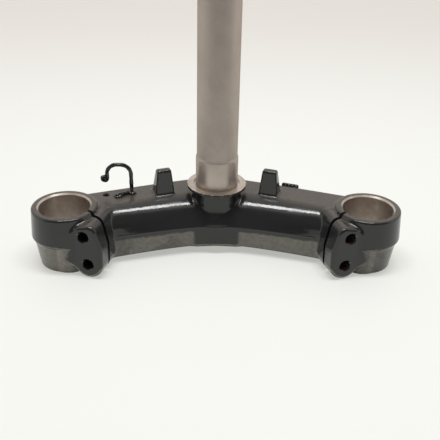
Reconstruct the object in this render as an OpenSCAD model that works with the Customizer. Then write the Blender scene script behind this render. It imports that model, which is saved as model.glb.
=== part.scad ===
// Lower triple clamp of a motorcycle fork: a forged yoke with two split clamp rings,
// the pressed-in steering stem and a bent-wire cable guide.
// The steering axis is Z, the rider sits towards +Y, and z = 0 is the underside of the clamps.

/* [Fork clamps] */
// Distance between the two fork tube axes
clamp_spacing = 245; // [230:1:260]
// Diameter of the fork tube bores
fork_bore_d = 41; // [37:0.5:43]
// Distance from the steering axis forward to the line of the fork tubes
clamp_offset = 31; // [28:0.5:34]
// Height of the clamp rings
clamp_h = 49.5; // [46:0.5:54]
// Wall of a clamp ring at the parting line, where it is thickest
clamp_wall = 7.5; // [6.5:0.1:8.5]
// Chamfer at the top of each fork bore
bore_chamfer = 1.6; // [0.5:0.1:2]
// Chamfer at the bottom of each fork bore
bore_chamfer_low = 0.8; // [0.4:0.1:1]

/* [Forging] */
// Height of the parting line of the forging
parting_z = 25.6; // [22:0.2:28]
// Draft of the walls above the parting line, in degrees
draft_above = 4; // [2:0.5:5]
// Draft of the walls below the parting line, in degrees
draft_below = 10; // [7:0.5:11]
// Rounding of the rims of the clamp rings
rim_round = 1.2; // [0.6:0.1:2]

/* [Arms] */
// Height of the flat top of the arms
arm_top_z = 46.6; // [44:0.2:47]
// Height of the underside at the ends of the arms
arm_sole_end_z = 1.6; // [0.5:0.1:4]
// Height of the underside at the middle of the arms
arm_sole_mid_z = 5; // [4:0.2:8]
// Distance from the steering axis to the front wall at the parting line
arm_front = 23; // [21:0.2:25]
// Distance from the steering axis to the front edge of the flat top
arm_flat_front = 3.4; // [2:0.2:6]
// Distance from the steering axis to the back wall at the parting line
arm_back = 31.4; // [28:0.2:33]
// Lean of the front wall of the arms above the parting line, in degrees
arm_lean = 15; // [10:1:18]
// Draft of the walls of the arms below the parting line, in degrees
arm_draft = 9; // [6:0.5:10]
// Sideways slope of the front wall
front_slope = 0.3; // [0.26:0.01:0.32]
// Sideways slope of the front edge of the flat top
flat_slope = 0.32; // [0.28:0.01:0.34]
// Sideways slope of the back wall
back_slope = 0.37; // [0.33:0.01:0.40]
// Length over which the front walls bend into their slope
front_soft = 28; // [24:1:32]
// Length over which the back walls bend into their slope
back_soft = 20; // [15:1:25]
// Rounding of the upper back edge
back_edge_r = 3; // [2:0.2:4]
// Rounding of the lower edges
low_edge_r = 3; // [2:0.2:4]

/* [Pinch lugs] */
// Angle of the pinch bolts, turned outwards from straight ahead, in degrees
lug_angle = 17; // [12:0.5:22]
// Width of the slit in each clamp
slit_w = 3; // [2:0.2:4]
// Distance from the bore axis forward to the middle of the slit, at the upper bolt
slit_lead = 3.8; // [3:0.1:5]
// Turn of the slits towards the front, from square to the pinch bolts, in degrees
slit_turn = 18; // [10:1:20]
// Distance from the bore axis to the front face of the lugs
lug_front = 22.8; // [22:0.1:26]
// Depth of the fixed lug behind the bore axis
lug_back = 14; // [12:0.5:16]
// Height of the top of the lugs
lug_top_z = 46.6; // [44:0.2:47]
// Radius of the lower end of the lugs, around the lower bolt
lug_end_r = 12.2; // [11:0.1:13]
// Radius of the upper outer corner of the lugs
lug_corner_r = 7; // [5:0.5:8]
// Radius of the bulge between the two bolts
lug_bulge_r = 17; // [16:0.5:19]
// Distance that the bulge stands out from the lower end of the lugs
lug_bulge_out = 0.4; // [0:0.1:1]
// Distance from the upper bolt outwards to the middle of the upper corner
lug_corner_out = 4.4; // [3:0.1:6]
// Distance that the top of the lugs falls towards the bore
lug_top_fall = 3.2; // [2:0.2:5]
// Diameter of the clearance holes of the pinch bolts
bolt_clear_d = 9; // [8.4:0.1:9.5]
// Diameter of the tapped holes of the pinch bolts
bolt_tap_d = 6.8; // [6:0.1:7]
// Depth of the tapped holes
bolt_tap_depth = 16; // [12:0.5:18]
// Chamfer at the mouth of the clearance holes
bolt_chamfer = 0.7; // [0.3:0.1:1]
// Metal left between a fork bore and the upper bolt hole
bolt_gap = 0.6; // [0.4:0.1:2]
// Distance that the lower bolt stands farther out than the upper one
bolt_lean = 2.5; // [1:0.1:4]
// Height from the lower bolt to the upper one
bolt_pitch = 24.4; // [22:0.2:26]

/* [Boss] */
// Height of the machined face around the stem
boss_top_z = 55.6; // [52:0.2:60]
// Radius of the machined face
boss_top_r = 24.8; // [22:0.2:27]
// Thickness of the machined rim around that face
boss_rim_h = 2.6; // [2:0.1:4]
// Radius of the neck below the rim, at the parting line
neck_r = 22.6; // [21.6:0.1:23.4]
// Height of the underside of the boss
boss_sole_z = 8; // [6:0.2:10]
// Width of the relief groove around the bearing seat
relief_w = 1.9; // [1:0.1:2.5]
// Depth of the relief groove
relief_depth = 1; // [0.5:0.1:1.5]

/* [Steering stops] */
// Distance between the middles of the two stops
stop_spacing = 86; // [80:1:92]
// Distance from the steering axis forward to the foot of the stops
stop_front = 6.6; // [5:0.2:8]
// Width of a stop at its foot
stop_foot_w = 14.6; // [12:0.2:16]
// Width of a stop at its top
stop_top_w = 10.6; // [8:0.2:11]
// Height of the tops of the stops
stop_top_z = 67; // [61:0.5:71]
// Depth of a stop at its foot
stop_foot_depth = 13.5; // [11:0.5:16]
// Depth of a stop at its top
stop_top_depth = 6.5; // [5:0.5:8]
// Turn of the stops, in line with the arms, in degrees
stop_turn = 19; // [15:0.5:22]
// Distance that the front of a stop leans back at its top
stop_lean = 1.6; // [1:0.1:2.5]
// Rounding of the tops of the stops
stop_round = 2.4; // [1.5:0.1:3]

/* [Steering stem] */
// Diameter of the stem
stem_d = 33.5; // [32:0.1:34]
// Height of the lower end of the stem
stem_low_z = 4.4; // [4:0.1:6]
// Diameter of the lower bearing seat
seat_d = 35; // [34.4:0.1:36]
// Length of the lower bearing seat above the machined face
seat_len = 26; // [20:0.5:30]
// Length of the stem from the machined face to the shoulder of the upper bearing seat
stem_reach = 172; // [160:1:190]
// Diameter of the upper bearing seat
upper_seat_d = 30; // [29:0.1:31]
// Length of the upper bearing seat
upper_seat_len = 18; // [14:0.5:22]
// Diameter of the threaded end
thread_d = 28; // [26:0.1:28.6]
// Length of the threaded end
thread_len = 16; // [12:0.5:20]
// Diameter of the bore through the stem
stem_bore_d = 22; // [18:0.5:23]
// Chamfer of the stem's shoulders and ends
stem_chamfer = 1; // [0.5:0.1:1.4]

/* [Cable guide] */
// Diameter of the wire
wire_d = 2.8; // [2:0.1:3.2]
// Place of the upright leg, left of the steering axis
guide_x = 71.2; // [68:0.2:74]
// Place of the upright leg, forward of the steering axis
guide_y = 2.4; // [1:0.2:5]
// Height of the guide above the arm
guide_h = 27; // [24:0.2:32]
// Width of the guide between the middles of the wire
guide_w = 19.8; // [18:0.2:22]
// Radius of the two upper bends
guide_bend_r = 8.3; // [7:0.1:8.8]
// Radius of the small eye that ends the wire
eye_r = 2; // [1.8:0.1:2.4]
// Height of the middle of the eye above the arm
eye_h = 13.2; // [11:0.2:15]
// Angle of the wire that the eye wraps round, in degrees
eye_wrap = 205; // [180:5:230]
// Length of the foot that lies on the arm
foot_len = 10.6; // [8:0.2:12]
// Turn of the foot towards the front of the arm, in degrees
foot_turn = 34; // [20:1:45]
// Radius of the bend between leg and foot
foot_bend_r = 3; // [2.4:0.1:3.6]
// Radius of the weld beads on the arm
weld_r = 3.2; // [2.4:0.1:4]
// Height of the weld beads
weld_h = 1.6; // [1.2:0.1:2]

/* [Small features] */
// Diameter of the tapped hole in the left arm
screw_tap_d = 5; // [4:0.1:6]
// Diameter of the countersink of that hole
screw_sink_d = 6.4; // [6.2:0.1:7]
// Depth of that hole
screw_depth = 15; // [10:0.5:20]
// Place of that hole, left of the steering axis
screw_x = 92.2; // [89:0.2:93]
// Place of that hole, forward of the steering axis
screw_y = 7; // [6.4:0.2:9]
// Place of the rear ear, right of the steering axis
ear_x = 64; // [58:0.5:70]
// Width of the rear ear
ear_w = 15; // [12:0.5:18]
// Thickness of the rear ear
ear_t = 3; // [2:0.1:4]
// Height of the rear ear above the flat top of the arm
ear_rise = 1.2; // [0.6:0.1:4]
// Height of the rear ear from its foot to its top
ear_h = 19; // [14:0.5:20]
// Rounding of the outer upper corner of the rear ear
ear_outer_r = 1.5; // [1:0.1:3]
// Rounding of the inner upper corner of the rear ear
ear_inner_r = 4; // [3:0.2:6]

/* [Hidden] */
$fn = 96;

over = 1;
paint = [0.10, 0.10, 0.11];
bare_steel = [0.52, 0.48, 0.45];

fork_r = fork_bore_d / 2;
clamp_x = clamp_spacing / 2;
clamp_y = -clamp_offset;
clamp_r = fork_r + clamp_wall;
clamp_top_r = clamp_r - (clamp_h - parting_z) * tan(draft_above);
clamp_low_r = clamp_r - parting_z * tan(draft_below);

stem_r = stem_d / 2;
seat_r = seat_d / 2;
shoulder_z = boss_top_z + stem_reach;

// The arms end inside the clamp rings, where the bores then cut them open.
arm_reach = clamp_x - 0.4 * fork_r;
arm_stations = 24;

upper_bolt = [fork_r + bolt_gap + bolt_clear_d / 2, lug_end_r + bolt_pitch];
lower_bolt = [upper_bolt[0] + bolt_lean, lug_end_r];
lug_inner = fork_r - lug_end_r;

// Walls in plan are soft hyperbolas: level at the steering axis, then sloping away.
function swept(x, start, slope, soft) = start - slope * (sqrt(x * x + soft * soft) - soft);
function front_y(x) = swept(x, -arm_front, front_slope, front_soft);
function flat_y(x) = swept(x, -arm_flat_front, flat_slope, front_soft);
function back_y(x) = swept(x, arm_back, back_slope, back_soft);
function sole_z(x) =
    let (share = min(1, abs(x) / arm_reach))
    arm_sole_mid_z + (arm_sole_end_z - arm_sole_mid_z) * share * share;

function arc(centre, r, from, to, steps) =
    [for (i = [0:steps]) let (a = from + (to - from) * i / steps) centre + r * [cos(a), sin(a)]];

// Middle of a rounding that touches a drafted wall and a level face.
// side is -1 for the front wall and 1 for the back wall.
function rounding_y(wall_y, side, r, rise, draft) =
    wall_y - side * (r + rise * sin(draft)) / cos(draft);

// Radius of the wide rounding that joins the leaning front wall to the flat top
function shoulder_r(x) = max(1.5, min(0.97 * (arm_top_z - parting_z),
    ((flat_y(x) - front_y(x)) * cos(arm_lean) - (arm_top_z - parting_z) * sin(arm_lean))
    / (1 - sin(arm_lean))));

// Section of the arm at x, as points in y and z, running round from the lower front edge
function arm_section(x) =
    let (
        low_z = sole_z(x) + low_edge_r,
        low_rise = parting_z - low_z,
        top_r = shoulder_r(x),
        top_rise = arm_top_z - top_r - parting_z,
        edge_rise = arm_top_z - back_edge_r - parting_z,
        low_front = [rounding_y(front_y(x), -1, low_edge_r, low_rise, arm_draft), low_z],
        top_front = [rounding_y(front_y(x), -1, top_r, top_rise, arm_lean), arm_top_z - top_r],
        top_back = [rounding_y(back_y(x), 1, back_edge_r, edge_rise, draft_above),
            arm_top_z - back_edge_r],
        low_back = [rounding_y(back_y(x), 1, low_edge_r, low_rise, arm_draft), low_z]
    )
    concat(
        arc(low_front, low_edge_r, 270, 180 + arm_draft, 3),
        [[front_y(x), parting_z]],
        arc(top_front, top_r, 180 - arm_lean, 90, 8),
        arc(top_back, back_edge_r, 90, draft_above, 3),
        [[back_y(x), parting_z]],
        arc(low_back, low_edge_r, -arm_draft, -90, 3)
    );

module arms() {
    sections = [for (i = [0:arm_stations])
        let (x = -arm_reach + 2 * arm_reach * i / arm_stations)
        [for (p = arm_section(x)) [x, p[0], p[1]]]];
    count = len(sections[0]);
    last = arm_stations * count;
    skin = [for (i = [0:arm_stations - 1], j = [0:count - 1])
        let (a = i * count + j, b = i * count + (j + 1) % count)
        each [[a, b, a + count], [b, b + count, a + count]]];
    ends = [[for (j = [0:count - 1]) count - 1 - j], [for (j = [0:count - 1]) last + j]];
    polyhedron(points = [for (s = sections) each s], faces = concat(skin, ends), convexity = 4);
}

module clamp_ring() {
    translate([0, clamp_y, 0])
        rotate_extrude()
            polygon(concat(
                [[0, 0]],
                arc([clamp_low_r - rim_round, rim_round], rim_round, -90, -draft_below, 4),
                [[clamp_r, parting_z]],
                arc([clamp_top_r - rim_round, clamp_h - rim_round], rim_round, draft_above, 90, 4),
                [[0, clamp_h]]));
}

// A drafted neck that widens into the thin machined rim
module boss() {
    low_r = neck_r - (parting_z - boss_sole_z) * tan(arm_draft);
    rim_z = boss_top_z - boss_rim_h;
    rotate_extrude()
        polygon([[0, boss_sole_z], [low_r, boss_sole_z], [neck_r, parting_z],
            [neck_r - 0.4, rim_z - (boss_top_r - neck_r)], [boss_top_r, rim_z],
            [boss_top_r, boss_top_z], [0, boss_top_z]]);
}

// Direction in which the outer tangent of two circles faces
function belt_angle(a, ra, b, rb) =
    let (d = b - a) atan2(d[1], d[0]) - acos((ra - rb) / norm(d));

// Outline of the lugs, seen along the bolts: u runs outwards from the bore, v upwards
module lug_outline() {
    corner = [upper_bolt[0] + lug_corner_out, lug_top_z - lug_corner_r];
    bulge = [lower_bolt[0] + lug_end_r - lug_bulge_r + lug_bulge_out,
        (lower_bolt[1] + upper_bolt[1]) / 2];
    low = belt_angle(lower_bolt, lug_end_r, bulge, lug_bulge_r);
    high = belt_angle(bulge, lug_bulge_r, corner, lug_corner_r);
    polygon(concat(
        [[lug_inner, lug_end_r]],
        arc(lower_bolt, lug_end_r, -145, low, 12),
        arc(bulge, lug_bulge_r, low, high, 5),
        arc(corner, lug_corner_r, high, 95, 6),
        [[fork_r - lug_top_fall, lug_top_z - lug_top_fall],
            [lug_inner, lug_top_z - 3 * lug_top_fall]]));
}

// Puts u outwards, the bolt direction along +Z and the height along +Y into the clamp's place.
module at_lug() {
    translate([clamp_x, clamp_y, 0])
        rotate([0, 0, lug_angle])
            rotate([90, 0, 0])
                mirror([1, 0, 0])
                    children();
}

module lugs() {
    at_lug()
        translate([0, 0, -lug_back])
            linear_extrude(lug_back + lug_front)
                lug_outline();
}

// Middle of the slit on the axis of a bolt, forward of the bore axis
function slit_at(bolt) = slit_lead + (bolt[0] - upper_bolt[0]) * tan(slit_turn);

module lug_cuts() {
    at_lug() {
        translate([upper_bolt[0], -over, slit_lead])
            rotate([0, -slit_turn, 0])
                translate([-fork_r, 0, -slit_w / 2])
                    cube([fork_r + 3 * lug_end_r, clamp_h + 2 * over, slit_w]);
        for (bolt = [upper_bolt, lower_bolt])
            translate([bolt[0], bolt[1], 0]) {
                translate([0, 0, slit_at(bolt)])
                    cylinder(d = bolt_clear_d, h = lug_front + over - slit_at(bolt));
                translate([0, 0, lug_front - bolt_chamfer])
                    cylinder(r1 = bolt_clear_d / 2, r2 = bolt_clear_d / 2 + bolt_chamfer + over,
                        h = bolt_chamfer + over);
                translate([0, 0, slit_at(bolt) - slit_w / 2 - bolt_tap_depth])
                    cylinder(d = bolt_tap_d, h = bolt_tap_depth + slit_w / 2);
                translate([0, 0, slit_at(bolt) - slit_w / 2 - bolt_tap_depth - bolt_tap_d / 4])
                    cylinder(d1 = 0, d2 = bolt_tap_d, h = bolt_tap_d / 4);
            }
    }
}

module fork_bore() {
    translate([clamp_x, clamp_y, 0]) {
        translate([0, 0, -over])
            cylinder(r = fork_r, h = clamp_h + 2 * over);
        translate([0, 0, clamp_h - bore_chamfer])
            cylinder(r1 = fork_r, r2 = fork_r + bore_chamfer + over, h = bore_chamfer + over);
        translate([0, 0, -over])
            cylinder(r1 = fork_r + bore_chamfer_low + over, r2 = fork_r, h = bore_chamfer_low + over);
    }
}

// A wedge with a rounded top: its front view and its side view meet in one solid.
module stop() {
    rise = stop_top_z - arm_top_z + over;
    translate([stop_spacing / 2, -stop_front, arm_top_z - over])
        rotate([0, 0, -stop_turn])
            intersection() {
                rotate([90, 0, 0])
                    linear_extrude(4 * stop_foot_depth, center = true)
                        polygon(concat(
                            [[-stop_foot_w / 2, 0], [stop_foot_w / 2, 0]],
                            arc([stop_top_w / 2 - stop_round, rise - stop_round], stop_round, 6, 90, 5),
                            arc([stop_round - stop_top_w / 2, rise - stop_round], stop_round, 90, 174, 5)));
                rotate([90, 0, 90])
                    linear_extrude(2 * stop_foot_w, center = true)
                        polygon(concat(
                            [[0, 0], [stop_foot_depth, 0]],
                            arc([stop_lean + stop_top_depth - stop_round, rise - stop_round],
                                stop_round, 16, 90, 5),
                            arc([stop_lean + stop_round, rise - stop_round], stop_round, 90, 176, 5)));
            }
}

// Flat ear that stands against the back wall of the right arm
module rear_ear() {
    top_z = arm_top_z + ear_rise;
    turn = -atan(back_slope * ear_x / sqrt(ear_x * ear_x + back_soft * back_soft));
    translate([ear_x, back_y(ear_x), top_z - ear_h])
        rotate([0, 0, turn])
            rotate([90, 0, 0])
                translate([0, 0, -2 * ear_t / 3])
                    linear_extrude(4 * ear_t / 3)
                        polygon(concat(
                            [[-ear_w / 2, 0], [ear_w / 2, 0]],
                            arc([ear_w / 2 - ear_outer_r, ear_h - ear_outer_r], ear_outer_r, 0, 90, 4),
                            arc([ear_inner_r - ear_w / 2, ear_h - ear_inner_r], ear_inner_r, 90, 180, 6)));
}

module lower_yoke() {
    color(paint)
        difference() {
            union() {
                arms();
                boss();
                for (side = [0, 1])
                    mirror([side, 0, 0]) {
                        translate([clamp_x, 0, 0])
                            clamp_ring();
                        lugs();
                        stop();
                    }
                rear_ear();
            }
            for (side = [0, 1])
                mirror([side, 0, 0]) {
                    fork_bore();
                    lug_cuts();
                }
            translate([0, 0, -over])
                cylinder(r = stem_r, h = boss_top_z + 2 * over);
            translate([0, 0, boss_top_z - relief_depth])
                cylinder(r = seat_r + relief_w, h = relief_depth + over);
            translate([-screw_x, -screw_y, arm_top_z - screw_depth])
                cylinder(d = screw_tap_d, h = screw_depth + over);
            translate([-screw_x, -screw_y, arm_top_z - (screw_sink_d - screw_tap_d) / 2])
                cylinder(d1 = screw_tap_d, d2 = screw_sink_d + 2 * over,
                    h = (screw_sink_d - screw_tap_d) / 2 + over);
        }
}

module steering_stem() {
    seat_top_z = boss_top_z + seat_len;
    thread_z = shoulder_z + upper_seat_len;
    end_z = thread_z + thread_len;
    upper_r = upper_seat_d / 2;
    thread_r = thread_d / 2;
    bore_r = stem_bore_d / 2;
    color(bare_steel)
        rotate_extrude()
            polygon([
                [bore_r, stem_low_z], [stem_r - stem_chamfer, stem_low_z], [stem_r, stem_low_z + stem_chamfer],
                [stem_r, boss_top_z - relief_depth], [seat_r, boss_top_z - relief_depth],
                [seat_r, seat_top_z - stem_chamfer],
                [stem_r, seat_top_z - stem_chamfer + (seat_r - stem_r)],
                [stem_r, shoulder_z - stem_chamfer], [stem_r - stem_chamfer, shoulder_z],
                [upper_r, shoulder_z], [upper_r, thread_z - (upper_r - thread_r)],
                [thread_r, thread_z], [thread_r, end_z - stem_chamfer],
                [thread_r - stem_chamfer, end_z], [bore_r, end_z]]);
}

// Bend of the wire: an arc in the plane of the guide, from one angle to another
module bend(centre, r, from, sweep) {
    translate([centre[0], 0, centre[1]])
        rotate([90, 0, 0])
            rotate([0, 0, from])
                rotate_extrude(angle = sweep)
                    translate([r, 0])
                        circle(d = wire_d, $fn = 32);
}

module rod(length) {
    cylinder(d = wire_d, h = length, $fn = 32);
}

// Weld bead: a cap of a ball that lies flat on the arm
module weld_bead() {
    ball_r = (weld_r * weld_r + weld_h * weld_h) / (2 * weld_h);
    intersection() {
        translate([0, 0, weld_h - ball_r])
            sphere(r = ball_r, $fn = 48);
        cylinder(r = weld_r + over, h = weld_h + over);
    }
}

module cable_guide() {
    wire_r = wire_d / 2;
    top = guide_h - wire_r - guide_bend_r;
    run = guide_w - 2 * guide_bend_r;
    foot = wire_r + foot_bend_r;
    color(paint)
        translate([-guide_x, -guide_y, arm_top_z]) {
            translate([0, 0, foot - wire_r / 2])
                rod(top - foot + wire_r / 2);
            bend([-guide_bend_r, top], guide_bend_r, 0, 90);
            translate([-guide_bend_r - run, 0, top + guide_bend_r])
                rotate([0, 90, 0])
                    rod(run);
            bend([-guide_bend_r - run, top], guide_bend_r, 90, 90);
            translate([-guide_w, 0, eye_h])
                rod(top - eye_h);
            bend([-guide_w - eye_r, eye_h], eye_r, 0, -eye_wrap);
            rotate([0, 0, foot_turn]) {
                bend([-foot_bend_r, foot], foot_bend_r, 0, -90);
                translate([-foot_bend_r - foot_len, 0, wire_r])
                    rotate([0, 90, 0])
                        rod(foot_len);
                translate([-foot_bend_r - foot_len + weld_r / 2, 0, 0])
                    weld_bead();
                translate([-foot_bend_r, 0, 0])
                    weld_bead();
            }
        }
}

lower_yoke();
steering_stem();
cable_guide();
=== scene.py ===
import math
import bpy
import bmesh
import numpy as np
from mathutils import Matrix, Vector


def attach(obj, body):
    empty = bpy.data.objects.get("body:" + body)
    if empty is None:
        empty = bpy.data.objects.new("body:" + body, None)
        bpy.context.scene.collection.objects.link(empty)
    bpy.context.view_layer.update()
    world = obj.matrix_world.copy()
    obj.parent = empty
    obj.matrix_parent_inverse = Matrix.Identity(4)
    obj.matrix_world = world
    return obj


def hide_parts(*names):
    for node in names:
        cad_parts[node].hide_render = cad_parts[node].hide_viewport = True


# Lower triple clamp: a forged yoke in gloss black paint, a bare turned steering stem and a
# bent-wire cable guide. Shapes are worked out in millimetres and built in metres.
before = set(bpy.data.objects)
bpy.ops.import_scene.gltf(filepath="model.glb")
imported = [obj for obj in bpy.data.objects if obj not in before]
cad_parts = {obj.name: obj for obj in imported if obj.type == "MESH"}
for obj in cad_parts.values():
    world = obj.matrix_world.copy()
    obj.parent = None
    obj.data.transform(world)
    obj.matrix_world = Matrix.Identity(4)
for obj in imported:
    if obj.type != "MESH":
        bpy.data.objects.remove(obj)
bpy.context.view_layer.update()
MM = 0.001

# Clamp rings and arms, in millimetres. A line of an arm seen from above is given by its y at the
# middle, its slope on the way out and how softly it bends at the middle.

CLAMP_X, CLAMP_Y, CLAMP_H = 122.5, -31.0, 49.5
FORK_R, CLAMP_R, RING_STEP = 20.5, 28.0, 1.8
BORE_CHAMFER, FOOT_CHAMFER = 1.3, 0.8
PARTING_Z, FLASH_RISE = 25.6, 0.25
DRAFT_ABOVE, DRAFT_BELOW, ARM_DRAFT = math.radians(4), math.radians(8), math.radians(9)
ARM_TOP, ARM_REACH = 46.6, 114.3
ARM_FRONT, ARM_FLAT, ARM_BACK = (-23.0, 0.30, 28), (-4.0, 0.345, 28), (31.4, 0.37, 20)
SOLE_Z, SOLE_DROP = 5.0, 3.4
SCREW_AT, SCREW_R, SCREW_FLOOR, SCREW_MOUTH = (-92.2, -7.0), 2.5, 31.6, 0.7

# Pinch lugs, in millimetres. A bolt is given by its distance from the bore's axis and its height.

LUG_TURN = math.radians(17)
LUG_FRONT, LUG_BACK, LUG_TOP = 22.8, -14.0, 46.6
SLIT_LEAD, SLIT_W, SLIT_TURN = 3.8, 3.0, math.radians(18)
UPPER_BOLT, LOWER_BOLT, LUG_END_R = (25.6, 36.6), (28.1, 12.2), 12.2
BOLT_R, BOLT_MOUTH, TAP_R, TAP_DEPTH = 4.5, 0.7, 3.4, 16

# Boss, stem and cable guide, in millimetres

BOSS_TOP, BOSS_R, RIM_H, NECK_R, NECK_FOOT_R = 55.6, 24.8, 2.3, 20.6, 24.4
STEM_R, STEM_BORE_R, STEM_FOOT, STEM_END = 16.75, 11.0, 4.4, 261.6
SEAT_R, SEAT_LOW, SEAT_TOP, SEAT_GROOVE = 17.5, 54.6, 79.4, 1.9
GUIDE_X, GUIDE_Y, GUIDE_WIDE, GUIDE_H, GUIDE_TURN = -71.2, -2.4, 19.8, 27.0, math.radians(34)
WIRE_R = 1.68

# How far a cut runs past the surface, the sides of a large round, and the grid that the yoke's
# skin is found on

PAST = 1
ROUND_SIDES = 144
GRID = 1.05
SKIN_LOW, SKIN_HIGH = (-145.5 * GRID, -68.3, -2.45), (145.5 * GRID, 34.3, 69.9)


# Signed distances

def round_both(a, b, r):
    """Distance to what two forms share, with the edge between them rounded by r."""
    edge = np.hypot(np.maximum(a + r, 0), np.maximum(b + r, 0))
    return np.minimum(np.maximum(a, b), -r) + edge


def blend_both(a, b, r):
    """Distance to two forms joined, with a fillet of radius r in the corner between them."""
    corner = np.hypot(np.maximum(r - a, 0), np.maximum(r - b, 0))
    return np.maximum(np.minimum(a, b), r) - corner


def eased(x, start, length):
    """0 up to start from the middle, then softly up to 1 over length."""
    share = np.clip((np.abs(x) - start) / length, 0, 1)
    return share * share * (3 - 2 * share)


def swept(x, line):
    start, slope, soft = line
    return start - slope * (np.sqrt(x * x + soft * soft) - soft)


def wall(out, z, lean):
    """Drafted wall: out is the distance beyond the parting line, lean the angle going up."""
    return out * np.cos(lean) + (z - PARTING_Z) * np.sin(lean)


def arms(x, y, z):
    """Both arms: a wide shoulder rounding above the parting line, drafted walls below it."""
    lean_middle, lean_drop, lean_start, lean_length = 31, 18, 25, 60
    upright_share, upright_start, upright_length = math.radians(5), 15, 8
    most_round, edge, crease = 0.97, 3.0, 0.5
    front, flat, back = swept(x, ARM_FRONT), swept(x, ARM_FLAT), swept(x, ARM_BACK)
    sole = SOLE_Z - SOLE_DROP * np.minimum(1, np.abs(x) / ARM_REACH) ** 2
    rise = ARM_TOP - PARTING_Z
    lean = np.radians(lean_middle - lean_drop * eased(x, lean_start, lean_length))
    shoulder = (flat - front) * np.cos(lean) - rise * np.sin(lean)
    shoulder = np.minimum(most_round * rise, shoulder / (1 - np.sin(lean)))
    top = z - ARM_TOP
    upper = round_both(wall(front - y, z, lean), top, shoulder)
    rear = round_both(wall(y - back, z, DRAFT_ABOVE), top, edge)
    upper = np.maximum(upper, rear)
    front_draft = ARM_DRAFT - upright_share * (1 - eased(x, upright_start, upright_length))
    lower = np.maximum(wall(front - y, z, -front_draft), wall(y - back, z, -ARM_DRAFT))
    lower = round_both(lower, sole - z, edge)
    body = round_both(upper, lower, crease)
    return np.maximum(body, np.abs(x) - ARM_REACH)


def turned(rho, z, r, high, above, below):
    """Round form with drafted walls about a vertical axis."""
    low, edge, crease = 8.0, 0.8, 0.6
    side = round_both(wall(rho - r, z, above), wall(rho - r, z, -below), crease)
    return round_both(side, np.maximum(z - high, low - z), edge)


def clamp_ring(ax, y, z):
    """The lower die was smaller, which left a step of RING_STEP under the parting line."""
    top_edge, foot_edge, step_edge, step_fillet = 1.5, 0.8, 0.5, 1.0
    fade_start, fade_length = 2, 10
    out = np.hypot(ax - CLAMP_X, y - CLAMP_Y) - CLAMP_R
    step = RING_STEP * (1 - np.clip((lug_frame(ax, y)[0] - fade_start) / fade_length, 0, 1))
    upper = round_both(wall(out, z, DRAFT_ABOVE), (out - z + PARTING_Z) * math.sqrt(0.5), step_edge)
    lower = np.maximum(wall(out + step, z, -DRAFT_BELOW), z - PARTING_Z)
    ring = round_both(blend_both(upper, lower, step_fillet), z - CLAMP_H, top_edge)
    return round_both(ring, -z, foot_edge)


def boss_neck(x, y, z):
    rho = np.hypot(x, y)
    foot_top, foot_fillet = 44.0, 1.2
    upright = turned(rho, z, NECK_R, BOSS_TOP - 1, 0.0, 0.0)
    foot = turned(rho, z, NECK_FOOT_R, foot_top, math.radians(15), math.radians(3))
    return blend_both(upright, foot, foot_fillet)


def boss_rim(x, y, z):
    """Thin machined rim that widens from the neck under it."""
    rho = np.hypot(x, y)
    tip, root_z, edge = math.radians(20), 45.0, 0.5
    cone = (rho - BOSS_R) * math.sin(tip) + (BOSS_TOP - RIM_H - z) * math.cos(tip)
    side = np.maximum(rho - BOSS_R, cone)
    return round_both(side, np.maximum(z - BOSS_TOP, root_z - z), edge)


def lug_frame(ax, y):
    """u runs from the bore out to the lugs, v along the pinch bolts to the front."""
    dx, dy = ax - CLAMP_X, y - CLAMP_Y
    u = -dx * math.cos(LUG_TURN) - dy * math.sin(LUG_TURN)
    v = dx * math.sin(LUG_TURN) - dy * math.cos(LUG_TURN)
    return u, v


def belt_angle(a, ra, b, rb):
    """Where a straight belt leaves the round of radius ra at a for the round at b."""
    dx, dy = b[0] - a[0], b[1] - a[1]
    return math.atan2(dy, dx) - math.acos((ra - rb) / math.hypot(dx, dy))


def lug_outline():
    """Egg shape round both bolts, closed by a line that lies inside the ring and the arm."""
    corner_r, corner_out, bulge_r, bulge_out = 7.0, 4.4, 17.0, 0.4
    hidden_line = [(20.0, 44.4), (13.5, 38.6), (9.6, 30.0), (8.3, LUG_END_R)]
    low_start, high_end = math.radians(-145), math.radians(95)
    corner = (UPPER_BOLT[0] + corner_out, LUG_TOP - corner_r)
    bulge = (LOWER_BOLT[0] + LUG_END_R + bulge_out - bulge_r, (LOWER_BOLT[1] + UPPER_BOLT[1]) / 2)
    low = belt_angle(LOWER_BOLT, LUG_END_R, bulge, bulge_r)
    high = belt_angle(bulge, bulge_r, corner, corner_r)
    rounds = [(LOWER_BOLT, LUG_END_R, low_start, low, 22), (bulge, bulge_r, low, high, 8),
              (corner, corner_r, high, high_end, 10)]
    points = []
    for centre, r, start, end, steps in rounds:
        for i in range(steps + 1):
            a = start + (end - start) * i / steps
            points.append((centre[0] + r * math.cos(a), centre[1] + r * math.sin(a)))
    return points + hidden_line


LUG_POINTS = lug_outline()


def outline_distance(u, z, points):
    """Signed distance to a closed outline in the plane."""
    best = np.full(u.shape, np.inf)
    inside = np.zeros(u.shape, bool)
    for (ax, ay), (bx, by) in zip(points, points[-1:] + points[:-1]):
        ex, ey = bx - ax, by - ay
        wx, wy = u - ax, z - ay
        t = np.clip((wx * ex + wy * ey) / (ex * ex + ey * ey), 0, 1)
        best = np.minimum(best, (wx - ex * t) ** 2 + (wy - ey * t) ** 2)
        crosses = (z >= ay) != (z >= by)
        if ey != 0:
            inside ^= crosses & (u < ax + ex * (z - ay) / ey)
    return np.where(inside, -1, 1) * np.sqrt(best)


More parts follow.
